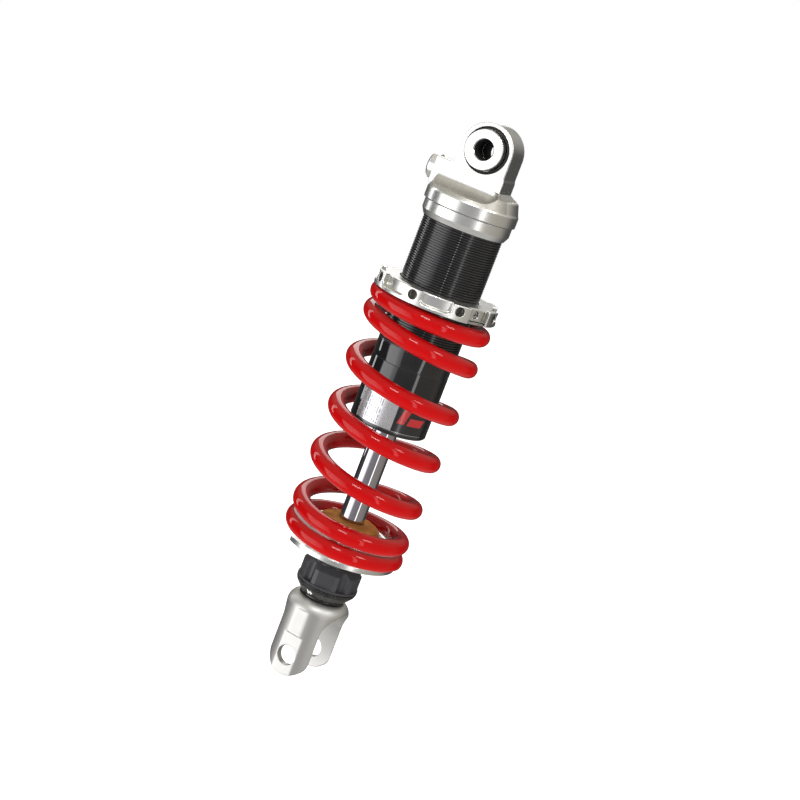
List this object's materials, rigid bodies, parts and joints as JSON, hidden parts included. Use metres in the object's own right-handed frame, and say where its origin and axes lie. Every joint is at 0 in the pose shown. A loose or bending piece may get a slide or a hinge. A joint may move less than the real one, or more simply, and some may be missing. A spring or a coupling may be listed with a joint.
{
  "type": "rear shock absorber",
  "caption": "Rear motorcycle shock absorber: coil spring over a threaded gas damper, with an eye bearing, preload ring, rebound knob and clevis.",
  "frame": {"origin": "on the damper's axis at the lowest point of the clevis", "axes": "+Z along the damper towards the eye, -Y out of the front collar of the eye, +X to the right seen from the front"},
  "size_m": [0.078, 0.079, 0.3634],
  "materials": {
    "bright_aluminium": "bright machined, clear anodised",
    "satin_aluminium": "fine bead-blasted satin",
    "black_anodised": "black anodised aluminium, glossy on the smooth part",
    "steel": "ground steel",
    "chrome": "hard chrome, mirror polished",
    "bronze": "plain bronze",
    "rubber": "matte black rubber",
    "foam": "tan microcellular foam",
    "red_coat": "glossy red powder coat",
    "black_plastic": "fine-grained black",
    "label_film": "silver and black printed film with no text"
  },
  "bodies": {
    "damper_body": {"mount_head": "bright_aluminium", "head_lock_ring": "bright_aluminium", "bearing_outer_race": "steel", "bearing_circlip_front": "steel", "bearing_circlip_back": "steel", "eye_seal_front": "rubber", "eye_seal_back": "rubber", "gas_valve_cap": "bright_aluminium", "gas_valve_core": "steel", "threaded_body": "black_anodised", "body_label": "label_film", "seal_head": "black_anodised", "rod_guide_bush": "bronze", "rod_seal": "rubber", "rod_wiper": "rubber", "seal_head_circlip": "steel", "seal_head_o_ring": "rubber", "coil_spring": "red_coat"},
    "spring_seat": {"lower_spring_seat": "bright_aluminium"},
    "rod_assembly": {"piston_rod": "chrome", "piston": "bright_aluminium", "piston_band": "black_plastic", "piston_nut": "steel", "compression_shims": "steel", "rebound_shims": "steel", "top_out_bumper": "rubber", "bump_stop": "foam", "bump_stop_washer": "steel", "seat_collar": "bright_aluminium", "indicator_ring": "black_plastic", "clevis": "satin_aluminium"},
    "rebound_knob": {"rebound_knob": "black_plastic"},
    "rebound_needle": {"rebound_needle": "steel", "adjuster_cross_pin": "steel"},
    "floating_piston": {"floating_piston": "bright_aluminium", "floating_piston_o_ring": "rubber"},
    "preload_washer": {"preload_washer": "steel"},
    "preload_ring": {"preload_ring": "bright_aluminium", "preload_grub_screw": "steel"},
    "upper_bearing": {"bearing_ball": "chrome", "eye_collar_front": "steel", "eye_collar_back": "steel"}
  },
  "joints": [
    {"name": "shock_travel", "type": "slide", "parent": "damper_body", "child": "spring_seat", "axis": [0, 0, 1], "range_m": [0, 0.056], "stiffness_N_per_m": 90000, "springref_m": -0.001, "deforming": ["coil_spring"]},
    {"name": "rod_swivel", "type": "hinge", "parent": "spring_seat", "child": "rod_assembly", "pos_m": [0, 0, 0.08], "axis": [0, 0, 1], "continuous": true},
    {"name": "rebound_knob_turn", "type": "hinge", "parent": "rod_assembly", "child": "rebound_knob", "pos_m": [0, 0, 0.0608], "axis": [0, 0, 1], "range_deg": [0, 1080]},
    {"name": "rebound_needle_slide", "type": "slide", "parent": "rod_assembly", "child": "rebound_needle", "axis": [0, 0, 1], "range_m": [0, 0.00242]},
    {"name": "preload_travel", "type": "slide", "parent": "damper_body", "child": "preload_washer", "axis": [0, 0, 1], "range_m": [0, 0.00152]},
    {"name": "preload_ring_turn", "type": "hinge", "parent": "preload_washer", "child": "preload_ring", "pos_m": [0, 0, 0.2547], "axis": [0, 0, 1], "range_deg": [0, 360]},
    {"name": "gas_piston_slide", "type": "slide", "parent": "damper_body", "child": "floating_piston", "axis": [0, 0, 1], "range_m": [0, 0.0075]},
    {"name": "upper_bearing_turn", "type": "hinge", "parent": "damper_body", "child": "upper_bearing", "pos_m": [0, 0, 0.3468], "axis": [0, 1, 0], "continuous": true}
  ],
  "couplings": [
    {"joint": "rebound_needle_slide", "follows": "rebound_knob_turn", "m_per_rad": 0.00012732},
    {"joint": "preload_travel", "follows": "preload_ring_turn", "m_per_rad": 0.00023873},
    {"joint": "gas_piston_slide", "follows": "shock_travel", "ratio": 0.13223}
  ]
}
